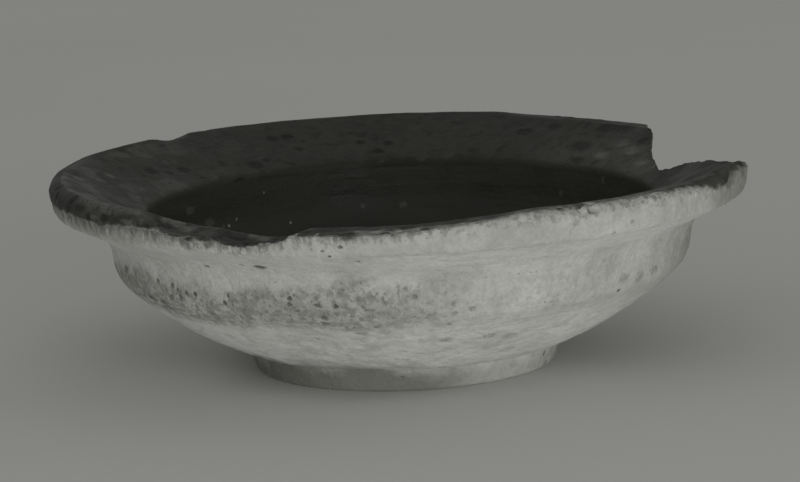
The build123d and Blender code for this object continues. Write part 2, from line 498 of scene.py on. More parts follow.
radius, height = profile.T
below_slant = height < SLANT * radius - SLANT_DROP
on_lower_wall = (height < LOWER_WALL_TOP) & (radius > FOOT_REACH) & below_slant
outside = (height < WALL_TOP) & ((radius > WALL_REACH) | on_lower_wall)
above_rest = rises(height, 0.1, 0.5)
edge = rises(height, 34, 3) * rises(radius, 64, 2)
weights("all_over", above_rest)
weights("outside", outside * above_rest)
weights("broken", rises(loss, 0.25, 0.4))
weights("edge", edge * np.where(corners[:, 1] > 0, FAR_SHARE, 1))
dents("soft_dents", 9, 0.26, 0.72, 1, "all_over")
dents("pits", 1.1, 0.22, 0.62, 2, "outside")
dents("grain", 2.2, 0.7, 0.6, 4, "broken")
dents("edge_wear", 3.0, 0.26, 0.75, 2, "edge")
vessel.vertex_groups.clear()
facts(vessel)

# %% [markdown]
# ## Where the slip ends on the lip
# At the near left the slip still laps over the lip's outer face, nearly to its foot. From
# the middle to the right it is rubbed away up to the crest, and past the right end it laps
# over again. The height at which it ends is given at some angles about the axis, and each
# corner keeps its distance above that border as a second attribute for the materials.

# %% Measure from the slip's border
# angle about the axis from the right, counted anticlockwise, and height in mm
slip_border = [
    (0, 40.5), (44, 40.2), (50, 39.2), (140, 38.6), (185, 36.8), (206, 37.2), (215, 36.8),
    (221, 37.4), (230, 37.7), (235, 36.2), (240, 36.4), (249, 36.3), (251, 37.5), (255, 38.3),
    (258, 38.1), (262, 38.4), (267, 38.6), (273, 38.9), (279, 39.4), (285, 40.1), (311, 40.5),
    (320, 40.1), (325, 39.6), (330, 38.3), (334, 38.4), (339, 38.8), (341, 40.0), (345, 40.5),
    (360, 40.5),
]


def turn_of(places):
    return np.degrees(np.arctan2(places[:, 1], places[:, 0])) % 360


def border_height(turn):
    return np.interp(turn, *zip(*slip_border))


corners = corners_of(vessel)
above = corners[:, 2] - border_height(turn_of(corners))
keep_on_mesh("above_border", above)
print("corners above the slip's border:", int((above > 0).sum()))

# %% [markdown]
# ## Part the vessel at the potter's joints
# On the wheel the body came first, the collar of the rim was set on the wall, and the foot
# ring was added under the floor. The finished skin runs over all three, so they are parted
# only now: the vessel is copied, and each copy is bisected at a joint, with the cut filled.
# The cut's border is marked sharp, so that the skin's shading is the same on both sides and
# no seam shows. Faces that will lie hidden under a coat are thinned out, to keep the mesh light.

# %% Cut the rim and the foot
RIM_SEAT, FOOT_SEAT = 27.0, 4.8
# nearer to the axis than this, the underside belongs to the body
FOOT_HOLLOW = 15


def slice_at(piece, height, keep_above):
    """Keeps the part of a piece above or below a height, closed with a flat face."""
    edit_with(piece, "VERT")
    bpy.ops.mesh.bisect(
        plane_co=(0, 0, height * MM), plane_no=(0, 0, 1), use_fill=True,
        clear_inner=keep_above, clear_outer=not keep_above,
    )
    bpy.ops.mesh.region_to_loop()
    bpy.ops.mesh.mark_sharp()
    to_object_mode()


everted_rim = copy_of(vessel, "everted_rim")
slice_at(everted_rim, RIM_SEAT, keep_above=True)

turned_foot = copy_of(vessel, "turned_foot")
slice_at(turned_foot, FOOT_SEAT, keep_above=False)
edit_with(turned_foot, "VERT", reach_of(corners_of(turned_foot)) < FOOT_HOLLOW)
bpy.ops.mesh.delete(type="VERT")
to_object_mode()

for piece in (everted_rim, turned_foot):
    facts(piece)

# %% [markdown]
# The body keeps a seat for the foot ring: it is cut open at the foot's height, the faces of
# the foot are taken out, and the hole is filled.

# %% Cut the body
# between these heights and this near to the axis, the body lies under the inside coat
COATED_FROM, COATED_TO, COATED_REACH = 9.6, 26.4, 51
KEPT_SHARE = 0.3


def thin_out(piece, hidden):
    """Keeps a share of the faces where they are hidden."""
    edit_with(piece, "FACE", hidden)
    bpy.ops.mesh.decimate(ratio=KEPT_SHARE)
    to_object_mode()


thrown_body = copy_of(vessel, "thrown_body")
slice_at(thrown_body, RIM_SEAT, keep_above=False)
edit_with(thrown_body, "VERT")
bpy.ops.mesh.bisect(plane_co=(0, 0, FOOT_SEAT * MM), plane_no=(0, 0, 1))
to_object_mode()
centres, normals = faces_of(thrown_body)
in_foot = (centres[:, 2] < FOOT_SEAT - 0.001) & (reach_of(centres) > FOOT_HOLLOW)
edit_with(thrown_body, "FACE", in_foot)
bpy.ops.mesh.delete(type="FACE")
bpy.ops.mesh.select_mode(type="EDGE")
bpy.ops.mesh.select_all(action="DESELECT")
bpy.ops.mesh.select_non_manifold()
bpy.ops.mesh.mark_sharp()
bpy.ops.mesh.fill()
to_object_mode()
centres, normals = faces_of(thrown_body)
under_coat = (centres[:, 2] > COATED_FROM) & (centres[:, 2] < COATED_TO)
under_coat &= reach_of(centres) < COATED_REACH
faces_in = (centres[:, :2] * normals[:, :2]).sum(axis=1) < 0
thin_out(thrown_body, under_coat & (faces_in | (normals[:, 2] > 0.3)))
for piece in (everted_rim, turned_foot, thrown_body):
    take(piece)
    bpy.ops.object.shade_smooth()
facts(thrown_body)

# %% [markdown]
# ## The slip coats
# Slip is a skin on the clay, so each coat is made from the vessel's own faces: the faces
# that it covers are kept, their border is smoothed, and a Solidify modifier gives them a
# thickness. The fracture gets none. On the lip the coat reaches a little past the slip that
# is left, and the materials draw the worn, ragged border.

# %% Find the faces under each coat
centres, normals = faces_of(vessel)
height, up = centres[:, 2], normals[:, 2]
reach, turn = reach_of(centres), turn_of(centres)
outwards = (centres[:, 0] * normals[:, 0] + centres[:, 1] * normals[:, 1]) / reach
# each face takes the loss of its first corner
first_loop = values_of(vessel.data.polygons, "loop_start", kind=int)
first_corner = values_of(vessel.data.loops, "vertex_index", kind=int)[first_loop]
lost = values_of(vessel.data.attributes["loss"].data, "value")[first_corner]

INSIDE_TOP, OVERLAP = 31.9, 0.8
FLOOR_FROM, INSIDE_REACH, LEDGE_REACH, CREST_END = 9, 51.6, 54, 68.6
LIP_FROM, LIP_FACE, LIP_START, LIP_END = 66.2, 67.5, 142, 257.5
BREAK_END = 30

facing_in = (up > 0.3) | (outwards < -0.1)
inside = (height < INSIDE_TOP) & (height > FLOOR_FROM) & (reach < INSIDE_REACH)
inside &= facing_in & (lost < 0.45)
sound = (lost < 0.35) | (turn >= BREAK_END)
on_flare = (height >= INSIDE_TOP - OVERLAP) & (reach < CREST_END) & sound
on_flare &= (reach < LEDGE_REACH) & (outwards < 0.2) | (up > 0.2)
on_left_lip = (height - border_height(turn) > -0.3) & (reach >= LIP_FROM)
on_left_lip &= (turn > LIP_START) & (turn < LIP_END) & ((outwards > -0.1) | (reach > LIP_FACE))
for name, faces in (("inside", inside), ("flare", on_flare), ("lip", on_left_lip)):
    print(name, "coat covers", int(faces.sum()), "faces")


# %% Skin the coats
HIDDEN_BELOW = 31
SHARP = math.radians(50)


def coat(name, faces, thickness):
    """Skin of slip over some of the vessel's faces."""
    piece = copy_of(vessel, name)
    edit_with(piece, "FACE", ~faces)
    bpy.ops.mesh.delete(type="FACE")
    bpy.ops.mesh.select_mode(type="VERT")
    bpy.ops.mesh.select_all(action="DESELECT")
    bpy.ops.mesh.select_non_manifold()
    bpy.ops.mesh.vertices_smooth(factor=0.5, repeat=4)
    to_object_mode()
    apply_modifier(piece, "SOLIDIFY", thickness=2 * thickness * MM, offset=0)
    centres, normals = faces_of(piece)
    faces_out = (centres[:, :2] * normals[:, :2]).sum(axis=1) >= 0
    thin_out(piece, faces_out & (normals[:, 2] < 0) & (centres[:, 2] < HIDDEN_BELOW))
    take(piece)
    bpy.ops.object.shade_smooth_by_angle(angle=SHARP)
    facts(piece)
    return piece


interior_coat = coat("inside_coat", inside, 0.10)
flare_coat = coat("flare_coat", on_flare, 0.12)
lip_coat = coat("lip_coat", on_left_lip, 0.14)
bpy.data.objects.remove(vessel)


# %% [markdown]
# ## Finishes
# The print is grey, so the finishes are greys too: pale, mottled clay outside and dark slip
# inside. Effects that the finishes share are node groups, each with named inputs: spots
# scattered by lot, one spot at a place, a mottle, the slip that is left on the lip, wheel
# lines, and a place's angle, reach and height. All of them read the Object coordinates, so
# they stick to the clay.

# %% Helpers for node trees
# They all draw in the node tree that is being made, which the name "tree" holds.
def put(kind, sockets=None, **settings):
    """Adds a node, sets it up, and links or fills its inputs."""
    node = tree.nodes.new(kind)
    for setting, value in settings.items():
        setattr(node, setting, value)
    for name, value in (sockets or {}).items():
        if isinstance(value, bpy.types.NodeSocket):
            tree.links.new(value, node.inputs[name])
        else:
            node.inputs[name].default_value = value
    return node


def maths(operation, *values):
    return put("ShaderNodeMath", dict(enumerate(values)), operation=operation).outputs[0]


def plus(one, other):
    return maths("ADD", one, other)


def minus(one, other):
    return maths("SUBTRACT", one, other)


def most(one, other):
    return maths("MAXIMUM", one, other)


def times(*masks):
    """Product of several masks and shares."""
    product = masks[0]
    for mask in masks[1:]:
        product = maths("MULTIPLY", product, mask)
    return product


def vector(operation, *values):
    return put("ShaderNodeVectorMath", dict(enumerate(values)), operation=operation).outputs[0]


def scaled(places, factor):
    sockets = {0: places, "Scale": factor}
    return put("ShaderNodeVectorMath", sockets, operation="SCALE").outputs[0]


def length(places):
    return put("ShaderNodeVectorMath", {0: places}, operation="LENGTH").outputs["Value"]


def axis_distance(places):
    return length(vector("MULTIPLY", places, (1, 1, 0)))


def noise(places, **values):
    return put("ShaderNodeTexNoise", {"Vector": places, **values}).outputs


def ramp(value, low, high, to_low=0.0, to_high=1.0):
    """Smooth step from one value to another."""
    sockets = {"Value": value, "From Min": low, "From Max": high}
    sockets |= {"To Min": to_low, "To Max": to_high}
    return put("ShaderNodeMapRange", sockets, interpolation_type="SMOOTHSTEP").outputs[0]


def spread(mask, low, high):
    """Spreads a mask between two values."""
    return ramp(mask, 0, 1, low, high)


def window(value, opens, opened, closes, closed):
    """1 between two values, with a smooth step at each side."""
    return times(ramp(value, opens, opened), ramp(value, closed, closes))


# %% Shared node groups
def new_group(name, outputs, **inputs):
    """Group whose inputs hold numbers, or a vector where no number is given."""
    tree = bpy.data.node_groups.new(name, "ShaderNodeTree")
    for socket, value in {"Vector": None, **inputs}.items():
        kind = "NodeSocketVector" if value is None else "NodeSocketFloat"
        made = tree.interface.new_socket(name=socket, in_out="INPUT", socket_type=kind)
        if value is not None:
            made.default_value = value
    for socket in outputs:
        tree.interface.new_socket(name=socket, in_out="OUTPUT", socket_type="NodeSocketFloat")
    return tree, tree.nodes.new("NodeGroupInput").outputs, tree.nodes.new("NodeGroupOutput").inputs


# Spots scattered by lot: size is a share of a cell, share is how many cells hold one
tree, given, result = new_group("scattered_spots", ["Mask"], Scale=500, Size=0.3, Share=0.5)
shifted = scaled(noise(given["Vector"], Scale=900, Detail=1)["Color"], 0.5 * MM)
bent = vector("ADD", given["Vector"], shifted)
cells = put("ShaderNodeTexVoronoi", {"Vector": bent, "Scale": given["Scale"]}).outputs
spot = ramp(cells["Distance"], given["Size"], times(given["Size"], 0.2))
lot = put("ShaderNodeSeparateColor", {"Color": cells["Color"]}).outputs["Red"]
tree.links.new(times(spot, maths("LESS_THAN", lot, given["Share"])), result["Mask"])

# One spot at a place in metres
tree, given, result = new_group("one_spot", ["Mask"], Centre=None, Size=None)
away = vector("DIVIDE", vector("SUBTRACT", given["Vector"], given["Centre"]), given["Size"])
tree.links.new(ramp(length(away), 1.25, 0.45), result["Mask"])

# Mottle: clouds of a scale, spread between two levels
tree, given, result = new_group("mottle", ["Value"], Scale=100, Detail=4, Low=0.35, High=0.65)
clouds = noise(given["Vector"], Scale=given["Scale"], Detail=given["Detail"], Roughness=0.6)
tree.links.new(ramp(clouds["Fac"], given["Low"], given["High"]), result["Value"])

# Slip left above its border on the lip: solid above, then a fade in streaks that run down
tree, given, result = new_group("slip_left", ["Mask"], Above=0, Fringe=1.5)
cloud = noise(given["Vector"], Scale=430, Detail=3, Roughness=0.55)["Fac"]
solid = ramp(plus(given["Above"], times(minus(cloud, 0.5), 2.6)), -0.55, 0.65)
drawn = vector("MULTIPLY", given["Vector"], (1, 1, 0.25))
streaks = noise(drawn, Scale=800, Detail=3, Roughness=0.6)["Fac"]
reach_down = times(plus(times(minus(streaks, 0.5), 3.2), 0.9), given["Fringe"])
fade = ramp(plus(given["Above"], reach_down), -0.3, 2.2, 0.0, 0.62)
tree.links.new(most(solid, fade), result["Mask"])

# Wheel lines: clouds drawn out along the turning direction
tree, given, result = new_group("wheel_lines", ["Value"], Spacing=400, Low=0.4, High=0.6)
parts = put("ShaderNodeSeparateXYZ", {"Vector": given["Vector"]}).outputs
reach = axis_distance(given["Vector"])
rising = plus(parts["Z"], times(reach, 0.6))
drawn = {"X": times(parts["X"], 0.1), "Y": times(parts["Y"], 0.1), "Z": rising}
lines = noise(put("ShaderNodeCombineXYZ", drawn).outputs[0], Scale=given["Spacing"], Detail=3)
tree.links.new(ramp(lines["Fac"], given["Low"], given["High"]), result["Value"])

# Where a place lies: angle from the viewer's side in degrees, reach and height in mm
tree, given, result = new_group("turned_place", ["Angle", "Reach", "Height"])
parts = put("ShaderNodeSeparateXYZ", {"Vector": given["Vector"]}).outputs
reach = axis_distance(given["Vector"])
turn = maths("ARCTAN2", parts["X"], times(parts["Y"], -1))
tree.links.new(times(turn, math.degrees(1)), result["Angle"])
tree.links.new(times(reach, 1 / MM), result["Reach"])
tree.links.new(times(parts["Z"], 1 / MM), result["Height"])
print("shared groups:", [shared.name for shared in bpy.data.node_groups])


# %% Helpers for the finishes
# They read the Object coordinates of the finish that is being made, which "place" holds.
def group(name, **sockets):
    """A shared group placed in a finish with its own values."""
    shared = bpy.data.node_groups[name]
    return put("ShaderNodeGroup", {"Vector": place, **sockets}, node_tree=shared).outputs


def mottle(scale, detail, low, high, **stretched):
    return group("mottle", Scale=scale, Detail=detail, Low=low, High=high, **stretched)["Value"]


def wheel_lines(spacing, low, high):
    return group("wheel_lines", Spacing=spacing, Low=low, High=high)["Value"]


def scattered(scale, size, share):
    return group("scattered_spots", Scale=scale, Size=size, Share=share)["Mask"]


def turned_place():
    spot_on = group("turned_place")
    return spot_on["Angle"], spot_on["Reach"], spot_on["Height"]


def kept_on_mesh(name):
    return put("ShaderNodeAttribute", attribute_name=name).outputs["Fac"]


def marks(places, growth=1.0):
    """Mask of single, uneven spots: angle, reach, height, half width and half height each."""
    off_centre = vector("SUBTRACT", noise(place, Scale=1100, Detail=2)["Color"], (0.5, 0.5, 0.5))
    bent = vector("ADD", place, scaled(off_centre, 0.9 * MM))
    mask = None
    for angle, reach, height, half_width, half_height in places:
        size = Vector((half_width, half_width, half_height)) * growth * MM
        one = group("one_spot", Vector=bent, Centre=at(angle, reach, height), Size=size)["Mask"]
        mask = one if mask is None else most(mask, one)
    return mask


def paint(colour, *layers):
    """Lays tones over a colour, each where the product of its masks is 1."""
    for tone, *masks in layers:
        node = put("ShaderNodeMix", data_type="RGBA")
        for slot, value in zip((0, 6, 7), (times(*masks), colour, tone)):
            if isinstance(value, bpy.types.NodeSocket):
                tree.links.new(value, node.inputs[slot])
            else:
                node.inputs[slot].default_value = (*value, 1)
        colour = node.outputs[2]
    return colour


def new_finish(name):
    """An empty node material: its tree, its shader and the Object coordinates."""
    finish = bpy.data.materials.new(name)
    finish.use_nodes = True
    tree = finish.node_tree
    place = tree.nodes.new("ShaderNodeTexCoord").outputs["Object"]
    return finish, tree, tree.nodes["Principled BSDF"], place


# how much the dull clay and slip mirror
DULL = 0.25


def finish_off(colour, roughness, specular, *heights):
    """Feeds the shader: colour, roughness, mirroring, and bumps of (height, depth in mm)."""
    tree.links.new(colour, shader.inputs["Base Color"])
    if isinstance(roughness, bpy.types.NodeSocket):
        tree.links.new(roughness, shader.inputs["Roughness"])
    else:
        shader.inputs["Roughness"].default_value = roughness
    shader.inputs["Specular IOR Level"].default_value = specular
    normal = None
    for height, depth in heights:
        sockets = {"Height": height, "Distance": abs(depth) * MM, "Strength": 1.0}
        if normal is not None:
            sockets["Normal"] = normal
        normal = put("ShaderNodeBump", sockets, invert=depth < 0).outputs[0]
    if normal is not None:
        tree.links.new(normal, shader.inputs["Normal"])
    print("finish made from", len(tree.nodes), "nodes")


# %% [markdown]
# ## Fired clay
# Outside, the slip is gone and the clay is pale and mottled, with lighter worn places and a
# darker, speckled band around the shoulder. Pits and stains that stand out in the photograph
# are listed one by one, each by its angle about the axis from the right, its reach and
# height, then half its width and height. Everything else is scattered by noise.

# %% Tones and single marks of the clay
CLAY_LIGHT = (0.44, 0.44, 0.42)
CLAY_MID = (0.35, 0.35, 0.33)
CLAY_DARK = (0.20, 0.20, 0.18)
CLAY_FLECK = (0.50, 0.50, 0.48)
FOOT_DARK = (0.13, 0.13, 0.115)
FOOT_BLACK = (0.095, 0.095, 0.084)
SLIP_EDGE = (0.040, 0.040, 0.034)
DIRT = (0.045, 0.045, 0.038)
BLACKENED = (0.012, 0.012, 0.009)
FRACTURE = (0.30, 0.30, 0.28)

# the pits that stand out
outer_pits = [
    (-115.5, 61.5, 30.5, 1.3, 0.9), (-102.1, 69.5, 35.1, 0.5, 0.3), (-101.1, 68.8, 34.0, 0.4, 0.3),
    (-133.1, 57.9, 23.3, 0.55, 0.5), (-125.8, 57.7, 22.2, 0.45, 0.55),
    (-102.7, 57.8, 22.5, 0.45, 0.7),
    (-97.0, 65.6, 32.4, 0.4, 0.4), (-99.3, 69.6, 35.9, 0.5, 0.45), (-125.2, 70.0, 36.8, 1.2, 0.6),
    (-60.0, 69.5, 39.3, 0.4, 0.8), (-58.5, 69.4, 39.8, 0.4, 0.4), (-43.5, 56.5, 19.9, 0.4, 0.4),
    (-91.8, 31.3, 3.2, 0.5, 0.4), (-28.8, 31.4, 3.3, 0.6, 0.5), (-24.8, 30.5, 1.0, 0.8, 0.5),
]
# smaller dark spots, most of them in the band
band_spots = [
    (-158.3, 58.2, 25.0, 0.9, 0.6), (-149.7, 56.9, 20.4, 0.9, 0.6), (-148.1, 56.7, 20.0, 0.8, 0.5),
    (-144.9, 56.7, 20.1, 1.1, 0.7), (-144.7, 55.7, 19.0, 1.0, 0.6), (-144.4, 58.1, 24.5, 0.7, 0.5),
    (-139.5, 58.1, 24.3, 0.6, 0.5), (-140.7, 57.5, 21.8, 0.7, 0.7), (-137.9, 58.0, 23.5, 0.8, 0.5),
    (-137.7, 57.7, 22.2, 0.5, 0.7), (-135.6, 57.9, 23.2, 0.6, 0.5), (-124.7, 58.0, 23.9, 0.3, 0.5),
    (-111.7, 58.0, 23.9, 0.5, 0.5), (-111.8, 57.8, 22.7, 0.5, 0.4), (-106.3, 57.8, 22.6, 1.0, 0.5),
    (-110.6, 57.5, 21.5, 0.6, 0.4), (-105.4, 56.7, 20.1, 0.8, 0.6), (-105.6, 55.4, 18.7, 0.8, 0.6),
    (-99.9, 56.9, 20.4, 0.7, 0.4), (-93.5, 57.9, 22.9, 0.6, 0.5), (-98.3, 56.4, 19.7, 0.5, 0.6),
    (-91.0, 58.4, 26.2, 0.5, 0.4), (-89.7, 58.3, 25.7, 0.5, 0.5), (-88.0, 58.0, 24.1, 0.5, 0.5),
    (-80.8, 57.7, 22.3, 0.5, 0.7), (-80.5, 56.7, 20.2, 0.7, 0.6), (-77.3, 57.2, 21.0, 0.7, 0.6),
    (-81.3, 54.1, 17.6, 0.5, 0.4), (-127.7, 60.3, 29.6, 0.6, 0.4), (-118.8, 62.2, 30.8, 0.5, 0.4),
    (-62.5, 69.8, 37.5, 0.6, 0.9), (-51.8, 69.6, 36.0, 0.5, 0.4), (-55.3, 69.1, 34.2, 0.5, 0.5),
]
# soft stains
outer_stains = [
    (-158.0, 57.7, 22.6, 2.6, 3.0), (-163.0, 57.8, 22.8, 2.0, 3.0), (-145.1, 57.2, 20.9, 2.8, 1.8),
    (-130.5, 54.2, 17.7, 1.6, 0.6), (-95.2, 57.1, 20.8, 1.7, 0.7), (-98.9, 52.7, 16.5, 1.6, 0.8),
    (-94.1, 52.9, 16.6, 1.4, 1.0), (-101.1, 53.7, 17.3, 1.8, 0.7), (-89.4, 56.5, 19.9, 1.6, 0.6),
    (-84.9, 56.8, 20.3, 1.0, 0.6), (-80.9, 49.1, 13.7, 1.8, 1.0), (-71.1, 49.2, 13.8, 1.6, 0.7),
    (-65.9, 48.6, 13.3, 1.5, 0.6), (-119.9, 57.9, 23.3, 3.0, 2.4), (-113.0, 57.3, 21.2, 3.2, 2.2),
    (-104.0, 57.4, 21.4, 3.0, 2.2), (-96.3, 57.8, 22.4, 2.8, 2.2), (-131.1, 57.3, 21.3, 2.6, 1.6),
    (-122.7, 57.2, 21.0, 2.8, 2.0), (-37.9, 57.6, 21.8, 1.8, 1.2), (-32.6, 57.7, 22.2, 1.6, 1.0),
    (-42.9, 57.6, 22.1, 1.6, 1.2), (-60.3, 57.1, 20.8, 1.2, 1.8), (-99.0, 69.5, 37.6, 1.6, 0.6),
]
# black dirt left on the worn edge
edge_blots = [
    (-103.7, 63.0, 38.1, 1.0, 0.5), (-102.3, 65.0, 38.1, 1.2, 0.5), (-101.4, 63.1, 38.2, 1.0, 0.5),
    (-99.5, 64.3, 38.2, 1.3, 0.6), (-94.2, 65.7, 38.3, 0.9, 0.5), (-92.5, 68.5, 38.4, 0.8, 0.6),
    (-95.2, 63.3, 38.3, 0.9, 0.5), (-86.4, 68.1, 38.7, 0.8, 0.6), (-98.0, 68.9, 37.9, 1.4, 0.7),
]
# rubbed and blackened places in the bruise at the near left
bruise_scuffs = [
    (-133.4, 63.5, 38.4, 1.3, 0.6), (-131.7, 62.8, 37.7, 1.3, 0.6), (-129.4, 62.9, 36.9, 1.4, 0.8),
    (-118.7, 56.9, 35.3, 1.1, 0.5), (-116.8, 57.3, 34.9, 1.1, 0.5), (-127.5, 66.0, 37.0, 1.2, 0.6),
]
bruise_blots = [
    (-132.9, 66.8, 38.2, 1.6, 0.8), (-132.0, 65.6, 37.7, 1.3, 0.7), (-126.9, 67.8, 36.7, 1.2, 0.8),
    (-124.3, 70.0, 36.7, 1.2, 0.7), (-120.9, 70.1, 37.1, 1.0, 0.6), (-122.6, 63.2, 36.2, 1.3, 0.7),
    (-122.1, 60.8, 35.8, 1.2, 0.6), (-120.3, 60.3, 35.1, 1.2, 0.6), (-118.1, 59.8, 34.6, 1.2, 0.6),
]


print("single marks:", sum(map(len, (outer_pits, band_spots, outer_stains, edge_blots))))

# %% [markdown]
# The bare clay comes first. Clouds of four sizes, wheel lines and pale patches are painted
# over each other, because old clay has no even tone at any scale. Below the band the clay
# is also painted paler, partly its own tone and partly painted light from below, and the
# crease under the rim is painted darker, as painted shade.

# %% Bare clay
clay, tree, shader, place = new_finish("fired_clay")
turn, reach, height = turned_place()
off_front = maths("ABSOLUTE", turn)
# the angle jumps from 180 to -180 at the back, so it fades to 0 there and leaves no seam
angle = times(turn, ramp(off_front, 178, 130))
broad = mottle(75, 5, 0.36, 0.66)
middle = mottle(260, 4, 0.38, 0.68)
small = mottle(560, 3, 0.42, 0.60)
fine = mottle(1300, 4, 0.3, 0.7)
lines = wheel_lines(330, 0.42, 0.62)
below_band = ramp(height, 19, 15)
flat = vector("MULTIPLY", place, (0.5, 0.5, 1))
patches = mottle(420, 3, 0.44, 0.62, Vector=flat)
dabs = mottle(620, 3, 0.50, 0.64, Vector=flat)
# the underside of the rim gathers the light that the floor throws back
under_rim = times(ramp(reach, 60.2, 61.8), ramp(height, 34.2, 33.0), ramp(angle, -20, 8))
# painted shade: the crease under the rim is painted darker
crease_shade = window(height, 26.4, 27.6, 29.6, 30.8)
# painted light: below the band the clay is painted paler, more so away from the front; partly the
# clay's own tone, partly light from below on the lower wall
colour = paint(
    CLAY_MID, (CLAY_LIGHT, broad), (CLAY_LIGHT, middle, 0.35), (CLAY_DARK, small, 0.12),
    (CLAY_DARK, fine, 0.20), (CLAY_DARK, lines, below_band, 0.07),
    (CLAY_FLECK, patches, below_band, 0.34),
    (CLAY_FLECK, below_band, ramp(off_front, 15, 45), 0.32),
    (CLAY_DARK, dabs, below_band, 0.30), (CLAY_FLECK, under_rim, spread(small, 0.66, 0.42)),
    (CLAY_DARK, crease_shade, 0.08),
)

# %% [markdown]
# Around the shoulder runs a band of dark specks, grains and stains. The band is painted
# darkest and lowest at the left, where the upright wall is in painted shade. It lies between
# two heights, which the broad clouds push up and down so that it looks grown.

# %% The speckled band
warp = times(minus(broad, 0.5), 2.5)
level = plus(height, warp)
# painted shade: at the left the band reaches lower and is darkest, on the side turned from the key
# light
lowered = minus(level, ramp(angle, -34, -12, 0.0, 2.2))
band = times(ramp(level, 15.6, 18.6), ramp(lowered, 26.4, 22.8))
band = times(band, ramp(angle, 14, -6, 0.22, 1.0), ramp(angle, -40, -75, 1.0, 0.9))
specks = mottle(1250, 3, 0.52, 0.68)
grains = scattered(520, 0.30, 0.35)
band_tone = plus(times(small, 0.40), 0.42)
clumps = mottle(400, 3, 0.50, 0.62)
clumps = times(clumps, ramp(angle, -8, -45, 0.25, 0.45))
grainy = most(times(specks, 0.5), times(grains, 0.6))
stains = marks(outer_stains)
stain_tone = plus(times(small, 0.35), 0.38)
colour = paint(
    colour, (CLAY_DARK, band, band_tone), (DIRT, band, most(grainy, clumps)),
    (CLAY_DARK, stains, stain_tone), (DIRT, stains, specks, 0.35),
)

# %% [markdown]
# Small pits hold dirt: some all over, and the few that stand out. The foot is darker clay,
# with painted shade that makes it nearly black at its left. The wall and the lip are painted
# darker where they turn away at the right: painted shade.

# %% Pits, the foot and painted shade on the right side
pits = scattered(300, 0.12, 0.16)
spots = times(marks(band_spots, 1.1), ramp(angle, -20, -6, 1.0, 0.6))
pits = most(times(pits, 0.6), marks(outer_pits))
pits = most(pits, times(spots, ramp(fine, 0.1, 0.9, 0.55, 0.9)))

# darker clay with painted shade: the foot is painted darker downwards, and nearly black at the left,
# away from the key light
foot = ramp(plus(height, warp), 8.2, 1.6)
foot_left_shade_and_tone = ramp(plus(height, warp), 7.4, 4.6)
foot_left_shade_and_tone = times(foot_left_shade_and_tone, ramp(angle, -18, -50), spread(middle, 0.95, 0.5))

# painted shade: the wall and the lip are painted darker where they turn away at the right
turned_away_shade = plus(times(ramp(angle, 46, 76), 0.8), times(ramp(angle, 70, 82), 0.7))
turned_away_shade = times(turned_away_shade, ramp(turn, 150, 105))
colour = paint(
    colour, (DIRT, pits, 0.85), (FOOT_DARK, foot, ramp(angle, 38, -6, 0.5, 1.12)),
    (FOOT_BLACK, foot_left_shade_and_tone), (CLAY_DARK, turned_away_shade, spread(middle, 0.75, 0.45)),
)

# %% [markdown]
# The face of the lip is painted darker towards the left and nibbled along its edge. Where
# the surface is broken away, the measured loss uncovers clay with a coarser grain, darker at
# the far side.

# %% The lip and the broken clay
above = kept_on_mesh("above_border")
on_lip = times(ramp(reach, 65.5, 68.5), ramp(height, 33.2, 35.4))
# the lip's face is painted darker towards the left
lip_darkening = plus(times(ramp(angle, -8, -22), 0.24), times(ramp(angle, -26, -52), 0.26))
lip_darkening = times(on_lip, plus(lip_darkening, 0.14), spread(middle, 1.2, 0.75))
near_edge = times(ramp(above, -4.2, -0.6), ramp(reach, 64, 66), ramp(angle, 72, 50))
nibbles = mottle(640, 3, 0.50, 0.64)
flecks = mottle(760, 2, 0.56, 0.68)

lost = kept_on_mesh("loss")
fresh = ramp(plus(lost, times(middle, 0.2)), 0.55, 0.85)
grain = mottle(700, 5, 0.35, 0.65)
broken_tone = paint(
    FRACTURE, (CLAY_MID, grain), (DIRT, window(turn, 98, 106, 150, 170), 0.95),
)
spall = times(window(angle, 58, 64, 92, 100), ramp(height, 33.0, 35.0))
far_side = times(ramp(angle, 79, 87), ramp(height, 33, 36))
cap = times(ramp(angle, 66, 74), ramp(height, 36.4, 37.4), ramp(reach, 69.6, 68.6))
far_corner = window(turn, 106, 112, 136, 142)
far_corner = times(far_corner, ramp(reach, 69.4, 68), ramp(height, 28, 30))
edge_dirt = marks(edge_blots, 1.2)

# slip is left along the lip's edge
fringe = ramp(angle, 12, -4, 1.0, 2.1)
left = group("slip_left", Above=above, Fringe=fringe)["Mask"]
left = times(left, ramp(reach, 63, 65))
colour = paint(
    colour, (CLAY_DARK, lip_darkening), (CLAY_DARK, near_edge, nibbles, 0.75),
    (CLAY_FLECK, near_edge, flecks, 0.4), (broken_tone, fresh),
    (CLAY_DARK, spall, spread(small, 0.95, 0.65)), (FOOT_DARK, far_side, 0.55),
    (SLIP_EDGE, cap, 0.85), (DIRT, far_corner, 0.95), (BLACKENED, edge_dirt, 0.85),
    (SLIP_EDGE, left),
)
finish_off(
    colour, spread(fine, 0.78, 0.95), DULL, (broad, 0.14), (lines, 0.02), (middle, 0.09),
    (fine, 0.05), (specks, -0.05), (pits, -0.25), (times(near_edge, nibbles), -0.12),
)

# %% [markdown]
# ## Dark slip
# Inside, the slip is nearly black and dull. It is even, with faint clouds, fine wheel lines
# and a few pale specks where grit shows. Its sides are painted lighter: painted light.

# %% Dark slip
SLIP_DARK = (0.0170, 0.0165, 0.0124)
SLIP_LIGHTER = (0.028, 0.0274, 0.0212)
SLIP_SIDES_PAINTED_LIGHT = (0.031, 0.0304, 0.0236)
GRIT = (0.12, 0.12, 0.11)
GRIT_PALE = (0.26, 0.26, 0.24)

